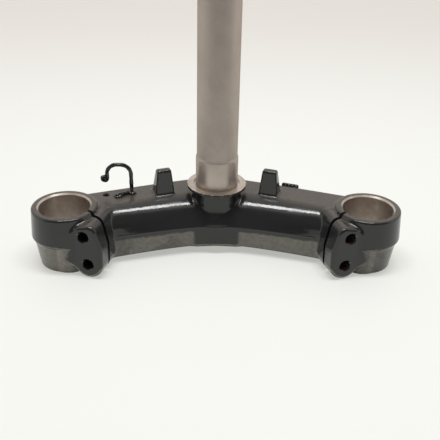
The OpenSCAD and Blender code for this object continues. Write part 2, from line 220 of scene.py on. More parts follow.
def lugs(ax, y, z):
    """Both halves of a pinch lug. Far from it a plain distance saves time."""
    middle_u, reach_u, reach_v, far_off, edge = 20, 30, 40, 12.0, 2.6
    u, v = lug_frame(ax, y)
    far = (np.abs(u - middle_u) > reach_u) | (np.abs(v) > reach_v)
    d = np.where(far, far_off, 0.0)
    near = ~far
    face = outline_distance(u[near], z[near], LUG_POINTS)
    ends = np.maximum(v[near] - LUG_FRONT, LUG_BACK - v[near])
    d[near] = round_both(face, ends, edge)
    return d


def stop(ax, y, z):
    """Steering stop: a block that narrows upwards, most at the back. Shares keep distances true."""
    at_x, at_y, turn = 42.6, -6.6, math.radians(19)
    foot_z, top, height = 45.6, 68.6, 23.0
    half_width, depth, flank_in, front_in, back_in = 8.3, 13.5, 2.3, 1.6, 5.4
    flank_share, front_share, back_share = 0.995, 0.997, 0.97
    root_z, upright_edge, top_edge = 38.0, 1.6, 2.2
    dx, dy = ax - at_x, y - at_y
    side = np.abs(dx * math.cos(turn) - dy * math.sin(turn))
    deep = dx * math.sin(turn) + dy * math.cos(turn)
    up = (z - foot_z) / height
    flank = (side - (half_width - flank_in * up)) * flank_share
    front = (-deep + front_in * up) * front_share
    back = (deep - depth + back_in * up) * back_share
    d = round_both(flank, np.maximum(front, back), upright_edge)
    return np.maximum(round_both(d, z - top, top_edge), root_z - z)


def rear_ear(x, y, z):
    """Small plate on the back of the right arm, along the arm's back line."""
    at_x, half_length, half_thick, top, root_z, corner, edge = 64.0, 7.5, 1.1, 48.0, 28.8, 1.6, 0.9
    start, slope, soft = ARM_BACK
    bent = math.hypot(at_x, soft)
    turn = -math.atan(slope * at_x / bent)
    dx, dy = x - at_x, y - (start - slope * (bent - soft))
    along = dx * math.cos(turn) + dy * math.sin(turn)
    deep = -dx * math.sin(turn) + dy * math.cos(turn)
    d = round_both(np.abs(along) - half_length, z - top, corner)
    d = np.maximum(d, root_z - z)
    return round_both(d, np.abs(deep) - half_thick, edge)


def forging(x, y, z):
    """The whole yoke before any cutting."""
    lug_fillet, neck_fillet, rim_fillet, clamp_fillet = 2.5, 3.5, 1.0, 1.6
    stop_fillet, ear_fillet, sole_edge = 2.0, 0.8, 0.4
    ax = np.abs(x)
    clamp = blend_both(clamp_ring(ax, y, z), lugs(ax, y, z), lug_fillet)
    d = blend_both(arms(x, y, z), boss_neck(x, y, z), neck_fillet)
    d = blend_both(d, boss_rim(x, y, z), rim_fillet)
    d = blend_both(d, clamp, clamp_fillet)
    d = blend_both(d, stop(ax, y, z), stop_fillet)
    d = blend_both(d, rear_ear(x, y, z), ear_fillet)
    return round_both(d, -z, sole_edge)


# From distances to a mesh

def crossing_points(values):
    """Mean place, in each cell, of the points where its edges cross the surface."""
    corners = [(i, j, k) for i in (0, 1) for j in (0, 1) for k in (0, 1)]
    total = np.zeros((values.shape[1], 3))
    hits = np.zeros(values.shape[1])
    for a in range(8):
        for axis in range(3):
            if corners[a][axis]:
                continue
            b = a + (4, 2, 1)[axis]
            cut = (values[a] < 0) != (values[b] < 0)
            t = np.where(cut, values[a] / np.where(cut, values[a] - values[b], 1), 0)
            at = np.array(corners[a], float)[None, :].repeat(len(t), 0)
            at[:, axis] += t
            total += at * cut[:, None]
            hits += cut
    return total / hits[:, None]


def skin(field, low, high, step):
    """Closed quad mesh on the zero surface of field, with its points pulled onto it."""
    axes = [np.arange(a, b + step, step) for a, b in zip(low, high)]
    d = field(*np.meshgrid(*axes, indexing="ij"))
    n = [s - 1 for s in d.shape]
    shifts = [(i, j, k) for i in (0, 1) for j in (0, 1) for k in (0, 1)]
    values = np.stack([d[i:i + n[0], j:j + n[1], k:k + n[2]] for i, j, k in shifts])
    below = values < 0
    mixed = below.any(0) & ~below.all(0)
    number = np.full(mixed.shape, -1)
    number[mixed] = np.arange(mixed.sum())
    points = np.array(low) + (np.argwhere(mixed) + crossing_points(values[:, mixed])) * step
    quads = []
    for axis in range(3):
        others = [a for a in range(3) if a != axis]
        here = [slice(1, -1)] * 3
        here[axis] = slice(0, -1)
        following = list(here)
        following[axis] = slice(1, None)
        a, b = d[tuple(here)] < 0, d[tuple(following)] < 0
        edge = np.argwhere(a != b)
        sign = a[a != b]
        edge += np.array([0 if i == axis else 1 for i in range(3)])
        ring = []
        for p, q in ((1, 1), (0, 1), (0, 0), (1, 0)):
            at = edge.copy()
            at[:, others[0]] -= p
            at[:, others[1]] -= q
            ring.append(number[at[:, 0], at[:, 1], at[:, 2]])
        ring = np.stack(ring, 1)
        flip = ~sign if axis != 1 else sign
        ring[flip] = ring[flip][:, ::-1]
        quads.append(ring)
    return pull(field, points, step), np.concatenate(quads)


def slope_of(field, p, reach=0.15):
    parts = []
    for axis in range(3):
        shift = np.zeros(3)
        shift[axis] = reach
        a, b = (p + shift).T, (p - shift).T
        parts.append((field(*a) - field(*b)) / (2 * reach))
    return np.stack(parts, 1)


def pull(field, points, step, rounds=3, least_slope=0.05, tiny=1e-9):
    """Moves the points onto the surface, at most half a step in each round."""
    for _ in range(rounds):
        d = field(*points.T)
        g = slope_of(field, points)
        move = g * (d / np.maximum((g * g).sum(1), least_slope))[:, None]
        size = np.linalg.norm(move, axis=1)
        move *= np.minimum(1, 0.5 * step / np.maximum(size, tiny))[:, None]
        points = points - move
    return points


def mesh_object(name, points, faces):
    mesh = bpy.data.meshes.new(name)
    mesh.from_pydata((np.asarray(points) * MM).tolist(), [], [[int(i) for i in f] for f in faces])
    mesh.validate()
    obj = bpy.data.objects.new(name, mesh)
    bpy.context.collection.objects.link(obj)
    return obj


def object_of(bm, name):
    """Object made of an edited mesh, which is freed."""
    mesh = bpy.data.meshes.new(name)
    bm.to_mesh(mesh)
    bm.free()
    obj = bpy.data.objects.new(name, mesh)
    bpy.context.collection.objects.link(obj)
    return obj


def lathe(profile, sides, name, closed=True):
    """Points (radius, height) turned about a vertical axis."""
    angles = np.arange(sides) * 2 * math.pi / sides
    rings = []
    for r, z in profile:
        rings.append(np.stack([r * np.cos(angles), r * np.sin(angles), np.full(sides, float(z))], 1))
    faces = []
    count = len(profile)
    for i in range(count if closed else count - 1):
        a, b = i * sides, (i + 1) % count * sides
        for j in range(sides):
            k = (j + 1) % sides
            faces.append((a + j, a + k, b + k, b + j))
    return mesh_object(name, np.concatenate(rings), faces)


def plug(profile, sides, name):
    """Solid turned form from the axis out, closed by a fan at both ends."""
    needle, same_point = 0.001, 2e-6
    obj = lathe([(max(r, needle), z) for r, z in profile], sides, name, closed=False)
    bm = bmesh.new()
    bm.from_mesh(obj.data)
    bmesh.ops.remove_doubles(bm, verts=bm.verts, dist=same_point)
    bmesh.ops.recalc_face_normals(bm, faces=bm.faces)
    bm.to_mesh(obj.data)
    bm.free()
    return obj


def smooth_by_angle(obj, degrees):
    obj.data.polygons.foreach_set("use_smooth", [True] * len(obj.data.polygons))
    obj.data.set_sharp_from_angle(angle=math.radians(degrees))


# The yoke

def place(obj, matrix):
    obj.data.transform(matrix)
    if matrix.determinant() < 0:
        obj.data.flip_normals()


def lug_matrix(side, u, z, v):
    """Turns +Z of a cutter along the pinch bolts, at (u, z, v) in the lug's own frame."""
    x = CLAMP_X - u * math.cos(LUG_TURN) + v * math.sin(LUG_TURN)
    y = CLAMP_Y - u * math.sin(LUG_TURN) - v * math.cos(LUG_TURN)
    out = Vector((-math.cos(LUG_TURN), -math.sin(LUG_TURN), 0))
    ahead = Vector((math.sin(LUG_TURN), -math.cos(LUG_TURN), 0))
    down = ahead.cross(out)
    turn = Matrix((out, down, ahead)).transposed().to_4x4()
    m = Matrix.Translation(Vector((x, y, z)) * MM) @ turn
    if side < 0:
        m = Matrix.Scale(-1, 4, (1, 0, 0)) @ m
    return m


def block(low, high, name):
    bm = bmesh.new()
    bmesh.ops.create_cube(bm, size=1.0)
    for v in bm.verts:
        for i in range(3):
            v.co[i] = (low[i] if v.co[i] < 0 else high[i]) * MM
    return object_of(bm, name)


def bore_cut(side):
    profile = [(0, -PAST), (FORK_R + FOOT_CHAMFER + PAST, -PAST), (FORK_R, FOOT_CHAMFER),
               (FORK_R, CLAMP_H - BORE_CHAMFER), (FORK_R + BORE_CHAMFER + PAST, CLAMP_H + PAST),
               (0, CLAMP_H + PAST)]
    bore = plug(profile, ROUND_SIDES, "bore_cut")
    place(bore, Matrix.Translation((side * CLAMP_X * MM, CLAMP_Y * MM, 0)))
    return bore


def slit_cut(side):
    """The slit turns about the upper bolt, so it is not square to the bolts."""
    inward, outward, upward, downward = 20, 38, 60, 30
    slit = block((-inward, -upward, -SLIT_W / 2), (outward, downward, SLIT_W / 2), "slit_cut")
    slit.data.transform(Matrix.Rotation(-SLIT_TURN, 4, "Y"))
    place(slit, lug_matrix(side, UPPER_BOLT[0], 0, SLIT_LEAD))
    return slit


def bolt_cut(side, u, z):
    """Tapped hole behind the slit, wider clear hole before it."""
    middle = SLIT_LEAD + (u - UPPER_BOLT[0]) * math.tan(SLIT_TURN)
    tap_end = middle - SLIT_W / 2 - TAP_DEPTH
    profile = [(0, tap_end - TAP_R / 2), (TAP_R, tap_end), (TAP_R, middle), (BOLT_R, middle),
               (BOLT_R, LUG_FRONT - BOLT_MOUTH), (BOLT_R + BOLT_MOUTH + PAST, LUG_FRONT + PAST),
               (0, LUG_FRONT + PAST)]
    hole = plug(profile, 64, "bolt_cut")
    place(hole, lug_matrix(side, u, z, 0))
    return hole


def stem_cut():
    """Hole of the pressed-in stem, with a relief groove round the bearing seat."""
    clear = BOSS_TOP + 1.4
    return plug([(0, -PAST), (STEM_R, -PAST), (STEM_R, SEAT_LOW), (SEAT_R + SEAT_GROOVE, SEAT_LOW),
                 (SEAT_R + SEAT_GROOVE, clear), (0, clear)], ROUND_SIDES, "stem_cut")


def screw_cut():
    tip, over, clear = 1.2, 0.5, ARM_TOP + 1.4
    wide = SCREW_R + SCREW_MOUTH + over
    screw = plug([(0, SCREW_FLOOR - tip), (SCREW_R, SCREW_FLOOR), (SCREW_R, ARM_TOP - SCREW_MOUTH),
                  (wide, ARM_TOP + over), (wide, clear), (0, clear)], 48, "screw_cut")
    place(screw, Matrix.Translation((SCREW_AT[0] * MM, SCREW_AT[1] * MM, 0)))
    return screw


def cutters():
    """Every cut of the machining, one closed form each."""
    made = []
    for side in (-1, 1):
        made += [bore_cut(side), slit_cut(side)]
        for u, z in (UPPER_BOLT, LOWER_BOLT):
            made.append(bolt_cut(side, u, z))
    return made + [stem_cut(), screw_cut()]


def cut(obj, tool):
    mod = obj.modifiers.new("cut", "BOOLEAN")
    mod.operation = "DIFFERENCE"
    mod.solver = "MANIFOLD"
    mod.object = tool
    graph = bpy.context.evaluated_depsgraph_get()
    mesh = bpy.data.meshes.new_from_object(obj.evaluated_get(graph))
    obj.modifiers.remove(mod)
    old = obj.data
    obj.data = mesh
    bpy.data.meshes.remove(old)
    bpy.data.objects.remove(tool)


def yoke_piece():
    points, quads = skin(forging, SKIN_LOW, SKIN_HIGH, GRID)
    made = mesh_object("yoke_skin", points, quads)
    for tool in cutters():
        cut(made, tool)
    smooth_by_angle(made, 32)
    return made


# The stem

def stem_profile():
    """Foot, bearing seat, shaft, upper seat and thread, from the bore's lower edge to its upper."""
    shoulder, thread, upper_r, crest_r, root_r = 227.6, 245.6, 15.0, 14.0, 13.5
    pitch, bevel, edge, flat, inner = 1.0, 1, 0.1, 0.05, 0.6
    p = [(STEM_BORE_R, STEM_FOOT + inner), (STEM_BORE_R + inner, STEM_FOOT)]
    p += [(STEM_R - bevel, STEM_FOOT), (STEM_R, STEM_FOOT + bevel), (STEM_R, SEAT_LOW)]
    p += [(SEAT_R, SEAT_LOW), (SEAT_R, SEAT_TOP), (SEAT_R - edge, SEAT_TOP + 0.5)]
    p += [(STEM_R + edge, SEAT_TOP + 2.3), (STEM_R, SEAT_TOP + 2.9)]
    p += [(STEM_R, shoulder - bevel), (STEM_R - bevel, shoulder)]
    p += [(upper_r, shoulder), (upper_r, thread - bevel)]
    z = thread
    while z < STEM_END - 1.6:
        p += [(root_r - flat, z), (root_r, z + 0.1), (crest_r, z + 0.5), (crest_r - flat, z + 0.6)]
        z += pitch
    p += [(root_r - edge, STEM_END - inner), (root_r - 0.5, STEM_END)]
    return p + [(STEM_BORE_R + inner, STEM_END), (STEM_BORE_R, STEM_END - inner)]


def stem_piece():
    made = lathe(stem_profile(), ROUND_SIDES, "stem_turned")
    smooth_by_angle(made, 25)
    return made


# The cable guide

def arc_points(centre, r, start, end, steps):
    """Points in the upright plane of the guide."""
    out = []
    for i in range(steps + 1):
        a = math.radians(start + (end - start) * i / steps)
        out.append((centre[0] + r * math.cos(a), GUIDE_Y, centre[1] + r * math.sin(a)))
    return out


def swell(i):
    """Thickness of the hand-brushed wire at its ring i."""
    return 1 + 0.05 * math.sin(0.9 * i) + 0.03 * math.sin(2.3 * i + 1)


def tube(path, r, sides, name):
    """Round wire along a path, with the frame carried along it and both ends domed."""
    dome = (0.25, 0.6, 0.85)
    p = np.array(path)
    t = np.gradient(p, axis=0)
    t /= np.linalg.norm(t, axis=1)[:, None]
    side = np.cross(t[0], (0.3, 1, 0.2))
    side /= np.linalg.norm(side)
    rings = []
    for i in range(len(p)):
        side = side - t[i] * side.dot(t[i])
        side /= np.linalg.norm(side)
        other = np.cross(t[i], side)
        a = np.arange(sides) * 2 * math.pi / sides
        rings.append((p[i], t[i] * r, (np.outer(np.cos(a), side) + np.outer(np.sin(a), other)) * r))
    first, last = rings[0], rings[-1]
    shells = [first[0] - first[1] * math.sqrt(1 - s * s) + first[2] * s for s in dome]
    shells += [c + spread * swell(i) for i, (c, _, spread) in enumerate(rings)]
    shells += [last[0] + last[1] * math.sqrt(1 - s * s) + last[2] * s for s in dome[::-1]]
    faces = []
    for i in range(len(shells) - 1):
        for j in range(sides):
            k = (j + 1) % sides
            faces.append((i * sides + j, i * sides + k, (i + 1) * sides + k, (i + 1) * sides + j))
    end = (len(shells) - 1) * sides
    faces.append(tuple(range(sides))[::-1])
    faces.append(tuple(range(end, end + sides)))
    return mesh_object(name, np.concatenate(shells), faces)


def weld_lump(centre, size, turn, seed):
    """A short hand-laid bead with an uneven surface."""
    bm = bmesh.new()
    bmesh.ops.create_uvsphere(bm, u_segments=28, v_segments=16, radius=1.0)
    wave = np.random.default_rng(seed).uniform(0, 6.28, 4)
    for v in bm.verts:
        x, y, z = v.co
        ripple = 1 + 0.10 * math.sin(7 * x + wave[0]) + 0.06 * math.sin(5 * y + 3 * x + wave[1])
        ripple += 0.04 * math.sin(9 * z + 4 * y + wave[2])
        v.co = Vector((x * size[0] * ripple, y * size[1] * ripple, z * size[2] * ripple))
    obj = object_of(bm, "weld")
    obj.data.transform(Matrix.Rotation(turn, 4, "Z"))
    obj.data.transform(Matrix.Translation(centre))
    obj.data.transform(Matrix.Scale(MM, 4))
    return obj


def join(objs, name):
    bm = bmesh.new()
    for o in objs:
        bm.from_mesh(o.data)
        bpy.data.objects.remove(o)
    return object_of(bm, name)


def foot_point(s, up):
    """Point of the guide's foot, s along it from under the upright leg."""
    return (GUIDE_X - s * math.cos(GUIDE_TURN), GUIDE_Y - s * math.sin(GUIDE_TURN), ARM_TOP + up)


def guide_path():
    """Foot on the arm, bend, upright leg, hook over the top, short drop and curl."""
    lift, bend, foot_long, foot_bend, curl_up, curl_r = 1.4, 8.3, 13.6, 3, 13.2, 2.0
    top = ARM_TOP + GUIDE_H - lift - bend
    leg_foot = ARM_TOP + lift + foot_bend
    path = []
    for i in range(11):
        path.append(foot_point(foot_long - i * (foot_long - foot_bend) / 10, lift))
    for i in range(1, 9):
        a = math.radians(90 * i / 8)
        up = lift + foot_bend - foot_bend * math.cos(a)
        path.append(foot_point(foot_bend - foot_bend * math.sin(a), up))
    for i in range(1, 12):
        path.append((GUIDE_X, GUIDE_Y, leg_foot + (top - leg_foot) * i / 12))
    path += arc_points((GUIDE_X - bend, top), bend, 0, 90, 16)
    path += arc_points((GUIDE_X - GUIDE_WIDE + bend, top), bend, 90, 180, 16)
    for i in range(1, 3):
        path.append((GUIDE_X - GUIDE_WIDE, GUIDE_Y, top - (top - ARM_TOP - curl_up) * i / 3))
    return path + arc_points((GUIDE_X - GUIDE_WIDE - curl_r, ARM_TOP + curl_up), curl_r, 0, -205, 18)


def guide_piece():
    """The wire, the welds under both ends of its foot and the blob of paint in its curl."""
    toe_size, heel_size, curl_size = (4.3, 3.3, 2.1), (4.0, 3.0, 2.0), (2.9, 2.2, 2.9)
    heel_at = (GUIDE_X + 0.3, GUIDE_Y - 1.4, ARM_TOP + 0.2)
    curl_at = (GUIDE_X - GUIDE_WIDE - 2.1, GUIDE_Y, ARM_TOP + 13.0)
    wire = tube(guide_path(), WIRE_R, 20, "guide_wire_tube")
    toe = weld_lump(foot_point(12.0, 0), toe_size, GUIDE_TURN, 3)
    heel = weld_lump(heel_at, heel_size, -0.2, 5)
    curl = weld_lump(curl_at, curl_size, 0.4, 8)
    made = join([wire, toe, heel, curl], "guide_wire")
    smooth_by_angle(made, 60)
    return made


yoke = yoke_piece()
stem = stem_piece()
guide = guide_piece()


# Node helpers

def feed(tree, socket, value):
    if isinstance(value, bpy.types.NodeSocket):
        tree.links.new(value, socket)
    else:
        socket.default_value = value


def calc(tree, operation, a, b=0.0):
    made = tree.nodes.new("ShaderNodeMath")
    made.operation = operation
    feed(tree, made.inputs[0], a)
    feed(tree, made.inputs[1], b)
    return made.outputs[0]


def times(tree, a, *others):
    for b in others:
        a = calc(tree, "MULTIPLY", a, b)
    return a


def noise(tree, size, detail=2.0, rough=0.5, warp=0.0):
    """Cloudy noise whose patches are about size metres across."""
    coordinates = tree.nodes.new("ShaderNodeTexCoord")
    made = tree.nodes.new("ShaderNodeTexNoise")
    tree.links.new(coordinates.outputs["Object"], made.inputs["Vector"])
    feed(tree, made.inputs["Scale"], calc(tree, "DIVIDE", 1.0, size))
    made.inputs["Detail"].default_value = detail
    made.inputs["Roughness"].default_value = rough
    made.inputs["Distortion"].default_value = warp
    return made.outputs["Fac"]


def ramp(tree, value, low, high, start=0.0, end=1.0):
    """Soft change from start to end as the value goes from low to high."""
    made = tree.nodes.new("ShaderNodeMapRange")
    made.interpolation_type = "SMOOTHSTEP"
    feed(tree, made.inputs["Value"], value)
    feed(tree, made.inputs["From Min"], low)
    feed(tree, made.inputs["From Max"], high)
    feed(tree, made.inputs["To Min"], start)
    feed(tree, made.inputs["To Max"], end)
    return made.outputs["Result"]


def band(tree, value, middle, half, soft):
    """1 within half of the middle, fading to 0 over soft."""
    off = calc(tree, "ABSOLUTE", calc(tree, "SUBTRACT", value, middle))
    return ramp(tree, off, half, half + soft, 1.0, 0.0)


def facing(tree, axis):
    """How far the surface faces along an axis, from -1 to 1."""
    shape = tree.nodes.new("ShaderNodeNewGeometry")
    parts = tree.nodes.new("ShaderNodeSeparateXYZ")
    tree.links.new(shape.outputs["Normal"], parts.inputs[0])
    return parts.outputs[axis]


def place_along(tree, axis):
    """Place along an axis, in metres."""
    coordinates = tree.nodes.new("ShaderNodeTexCoord")
    parts = tree.nodes.new("ShaderNodeSeparateXYZ")
    tree.links.new(coordinates.outputs["Object"], parts.inputs[0])
    return parts.outputs[axis]


def either_side(tree):
    """Distance from the middle of the yoke, the same on both sides, in metres."""
    return calc(tree, "ABSOLUTE", place_along(tree, "X"))


def blend_colour(tree, mask, a, b):
    made = tree.nodes.new("ShaderNodeMix")
    made.data_type = "RGBA"
    feed(tree, made.inputs[0], mask)
    feed(tree, made.inputs[6], a if isinstance(a, bpy.types.NodeSocket) else (*a, 1))
    feed(tree, made.inputs[7], b if isinstance(b, bpy.types.NodeSocket) else (*b, 1))
    return made.outputs[2]


def raise_surface(tree, shader, height):
    bump = tree.nodes.new("ShaderNodeBump")
    bump.inputs["Distance"].default_value = 1.0
    feed(tree, bump.inputs["Height"], height)
    tree.links.new(bump.outputs[0], shader.inputs["Normal"])


# Effects that several finishes share

def new_group(name, output, inputs):
    tree = bpy.data.node_groups.new(name, "ShaderNodeTree")
    for title, value in inputs:
        socket = tree.interface.new_socket(name=title, in_out="INPUT", socket_type="NodeSocketFloat")
        socket.default_value = value
    tree.interface.new_socket(name=output, in_out="OUTPUT", socket_type="NodeSocketFloat")
    start = tree.nodes.new("NodeGroupInput")
    end = tree.nodes.new("NodeGroupOutput")
    return tree, start.outputs, end.inputs[0]


def unevenness_group():
    """Height of a brushed or sprayed coat: orange peel on a slower swell of the metal."""
    inputs = [("Peel Size", 0.0015), ("Peel Height", 0.00001),
              ("Swell Size", 0.009), ("Swell Height", 0.00005)]
    tree, given, out = new_group("coat_unevenness", "Height", inputs)
    peel = times(tree, noise(tree, given["Peel Size"], 1.0), given["Peel Height"])
    swelling = times(tree, noise(tree, given["Swell Size"], 2.0), given["Swell Height"])
    tree.links.new(calc(tree, "ADD", peel, swelling), out)
    return tree


def dust_and_sheen_group():
    """Where dust has settled on what faces up, thicker here and thinner there. Its light colour also
    stands in for light reflected from up-facing faces: a painted sheen.
    """
    inputs = [("Amount", 1.0), ("Patch Size", 0.006), ("Least Slope", 0.90)]
    tree, given, out = new_group("settled_dust_and_sheen", "Mask", inputs)
    level = ramp(tree, facing(tree, "Z"), given["Least Slope"], 1.0)
    cloud = ramp(tree, noise(tree, given["Patch Size"], 5.0, 0.6), 0.25, 0.65, 0.5, 1.0)
    tree.links.new(times(tree, level, cloud, given["Amount"]), out)
    return tree


def stain_group():
    """Irregular patches with soft edges: old grease, handling and thin rust."""
    tree, given, out = new_group("stains", "Mask", [("Size", 0.01), ("Low", 0.4), ("High", 0.62)])
    cloud = noise(tree, given["Size"], 5.0, 0.6, 0.5)
    tree.links.new(ramp(tree, cloud, given["Low"], given["High"]), out)
    return tree


def turning_group():
    """Fine rings left by a lathe or a boring bar."""
    tree, given, out = new_group("turning_marks", "Height", [("Pitch", 0.0004), ("Depth", 0.000003)])
    rings = tree.nodes.new("ShaderNodeTexNoise")
    rings.noise_dimensions = "1D"
    tree.links.new(calc(tree, "DIVIDE", place_along(tree, "Z"), given["Pitch"]), rings.inputs["W"])
    rings.inputs["Scale"].default_value = 1.0
    rings.inputs["Detail"].default_value = 3.0
    tree.links.new(times(tree, rings.outputs["Fac"], given["Depth"]), out)
    return tree


UNEVENNESS = unevenness_group()
DUST_AND_SHEEN = dust_and_sheen_group()
STAINS = stain_group()
TURNING = turning_group()


def effect(tree, group, **values):
    made = tree.nodes.new("ShaderNodeGroup")
    made.node_tree = group
    for key, value in values.items():
        made.inputs[key.replace("_", " ").title()].default_value = value
    return made.outputs[0]


# Finishes

def new_material(name, metallic=0.0, ior=1.5):
    mat = bpy.data.materials.new(name)
    mat.use_nodes = True
    tree = mat.node_tree
    tree.nodes.clear()
    out = tree.nodes.new("ShaderNodeOutputMaterial")
    shader = tree.nodes.new("ShaderNodeBsdfPrincipled")
    tree.links.new(shader.outputs[0], out.inputs[0])
    shader.inputs["Metallic"].default_value = metallic
    shader.inputs["IOR"].default_value = ior
    return mat, tree, shader


def off_the_lugs(tree):
    """0 on the milled pinch lugs, 1 on the rest of the forging."""
    middle, half, soft = 0.0265, 0.016, 0.002
    across = calc(tree, "SUBTRACT", either_side(tree), CLAMP_X * MM)
    along = calc(tree, "SUBTRACT", place_along(tree, "Y"), CLAMP_Y * MM)
    u = times(tree, across, -math.cos(LUG_TURN))
    u = calc(tree, "SUBTRACT", u, times(tree, along, math.sin(LUG_TURN)))
    return calc(tree, "SUBTRACT", 1.0, band(tree, u, middle, half, soft))


def mottling(tree):
    """Mottled pattern of the light lower film and of the painted highlight streak, strong here and weak
    there.
    """
    fine = effect(tree, STAINS, size=0.0035, low=0.3, high=0.7)
    patches = effect(tree, STAINS, size=0.03, low=0.36, high=0.5)
    return times(tree, ramp(tree, fine, 0.0, 1.0, 0.72, 1.0), ramp(tree, patches, 0.0, 1.0, 0.6, 1.0))


def table_reflection_and_road_film(tree):
    """Light film on walls that lean in below: partly painted reflection of the bright table, partly
    road dirt. Thinner at the back and on the right ring.
    """
    clean_low, clean_high, arm_end, ring_start = 0.0235, 0.0255, 0.084, 0.09
    thins_from, thins_to = 0.094, 0.112
    leaning = ramp(tree, facing(tree, "Z"), -0.085, -0.13)
    off_the_sole = ramp(tree, facing(tree, "Z"), -0.5, -0.3)
    ragged = times(tree, noise(tree, 0.007, 4.0, 0.6), 0.006)
    under_crease = ramp(tree, calc(tree, "ADD", place_along(tree, "Z"), ragged), clean_low, clean_high)
    on_arms = ramp(tree, either_side(tree), arm_end, ring_start, 1.0, 0.0)
    kept_off = calc(tree, "SUBTRACT", 1.0, times(tree, under_crease, on_arms))
    back = ramp(tree, facing(tree, "Y"), -0.2, 0.4, 1.0, 0.4)
    right_end = ramp(tree, place_along(tree, "X"), thins_from, thins_to, 1.0, 0.55)
    return times(tree, leaning, off_the_sole, mottling(tree), kept_off, back, right_end)


def gloss_black():
    """Old gloss black over the forging. Dust on top, whose light brown also paints a sheen there.
    Below, a light film that is partly painted reflection of the table and partly road dirt. A painted
    highlight streak low on each ring.
    """
    mat, tree, shader = new_material("gloss_black", 0.0, 1.53)
    # Dust on what faces up; its light brown is partly a painted sheen on the tops
    dust_and_sheen = effect(tree, DUST_AND_SHEEN, amount=1.0, patch_size=0.004, least_slope=0.90)
    # Light lower film: partly painted reflection of the table, partly road dirt
    film = table_reflection_and_road_film(tree)
    # Painted highlight: a light upright streak on the lower front of each ring, where a lamp's
    # reflection would lie
    streak_x, streak_half, streak_soft = 0.1242, 0.0015, 0.002
    painted_streak = band(tree, either_side(tree), streak_x, streak_half, streak_soft)
    painted_streak = times(tree, painted_streak, film, mottling(tree), 0.7)
    # Light brown of the dust, partly a painted sheen
    colour = blend_colour(tree, dust_and_sheen, (0.026, 0.026, 0.0265), (0.064, 0.052, 0.041))
    # Light grey of the lower film, partly a painted reflection of the table
    colour = blend_colour(tree, film, colour, (0.330, 0.315, 0.265))
    # Light colour of the painted highlight streak
    colour = blend_colour(tree, painted_streak, colour, (0.52, 0.46, 0.40))
    tree.links.new(colour, shader.inputs["Base Color"])
    smears = effect(tree, STAINS, size=0.02, low=0.42, high=0.6)
    gloss = ramp(tree, smears, 0.0, 1.0, 0.10, 0.17)
    dull = times(tree, calc(tree, "MAXIMUM", dust_and_sheen, film), 0.2)
    tree.links.new(calc(tree, "ADD", gloss, dull), shader.inputs["Roughness"])
    height = effect(tree, UNEVENNESS, peel_size=0.0023, peel_height=0.000036, swell_size=0.011,
                    swell_height=0.00012)
    flash = band(tree, place_along(tree, "Z"), PARTING_Z * MM, 0.0001, 0.0009)
    flash = times(tree, flash, off_the_lugs(tree), FLASH_RISE * MM)
    raise_surface(tree, shader, calc(tree, "ADD", height, flash))
    return mat


def wire_black():
    """Thick gloss black brushed over the wire and its welds."""
    mat, tree, shader = new_material("wire_black", 0.0, 1.6)
    dust_and_sheen = effect(tree, DUST_AND_SHEEN, amount=0.5, patch_size=0.002, least_slope=0.93)
    colour = blend_colour(tree, dust_and_sheen, (0.011, 0.010, 0.010), (0.05, 0.042, 0.033))
    tree.links.new(colour, shader.inputs["Base Color"])
    tree.links.new(ramp(tree, dust_and_sheen, 0.0, 1.0, 0.10, 0.3), shader.inputs["Roughness"])
    height = effect(tree, UNEVENNESS, peel_size=0.0012, peel_height=0.00004, swell_size=0.0035,
                    swell_height=0.00035)
    raise_surface(tree, shader, height)
    return mat


def machined_steel():
    """Bored and faced steel with a thin brown film."""
    mat, tree, shader = new_material("machined_steel", 0.85)
    film = effect(tree, STAINS, size=0.012, low=0.38, high=0.64)
    colour = blend_colour(tree, film, (0.58, 0.515, 0.465), (0.46, 0.40, 0.35))
    tree.links.new(colour, shader.inputs["Base Color"])
    tree.links.new(ramp(tree, film, 0.0, 1.0, 0.29, 0.38), shader.inputs["Roughness"])
    raise_surface(tree, shader, effect(tree, TURNING, pitch=0.00055, depth=0.000006))
    return mat


def turned_steel():
    """Turned and ground steel of the stem: a smoother bearing seat under a duller shaft."""
    mat, tree, shader = new_material("turned_steel", 0.7, 1.3)
    shader.inputs["Specular Tint"].default_value = (0.5, 0.47, 0.44, 1)
    film = effect(tree, STAINS, size=0.014, low=0.4, high=0.62)
    handling = effect(tree, STAINS, size=0.045, low=0.35, high=0.65)
    seat = ramp(tree, place_along(tree, "Z"), (SEAT_TOP + 1.2) * MM, (SEAT_TOP + 1.9) * MM, 1.0, 0.0)
    colour = blend_colour(tree, seat, (0.57, 0.505, 0.45), (0.56, 0.49, 0.43))
    colour = blend_colour(tree, times(tree, film, 0.14), colour, (0.36, 0.30, 0.255))
    tree.links.new(colour, shader.inputs["Base Color"])
    rough = ramp(tree, handling, 0.0, 1.0, 0.52, 0.6)
    rough = calc(tree, "SUBTRACT", rough, times(tree, seat, 0.16))
    tree.links.new(rough, shader.inputs["Roughness"])
    raise_surface(tree, shader, effect(tree, TURNING, pitch=0.0004, depth=0.000004))
    return mat


def rusty_steel():
    """Bare thread and hole walls that the air has got to."""
    mat, tree, shader = new_material("rusty_steel", 0.3)
    rust = effect(tree, STAINS, size=0.0022, low=0.35, high=0.6)
    colour = blend_colour(tree, rust, (0.17, 0.12, 0.10), (0.11, 0.045, 0.03))
    tree.links.new(colour, shader.inputs["Base Color"])
    tree.links.new(ramp(tree, rust, 0.0, 1.0, 0.45, 0.85), shader.inputs["Roughness"])
    raise_surface(tree, shader, effect(tree, UNEVENNESS, peel_size=0.0006, peel_height=0.00002))
    return mat


yoke.data.materials.clear()
for finish in (gloss_black(), machined_steel(), rusty_steel()):
    yoke.data.materials.append(finish)
PAINT, BARE, RUSTY = range(3)


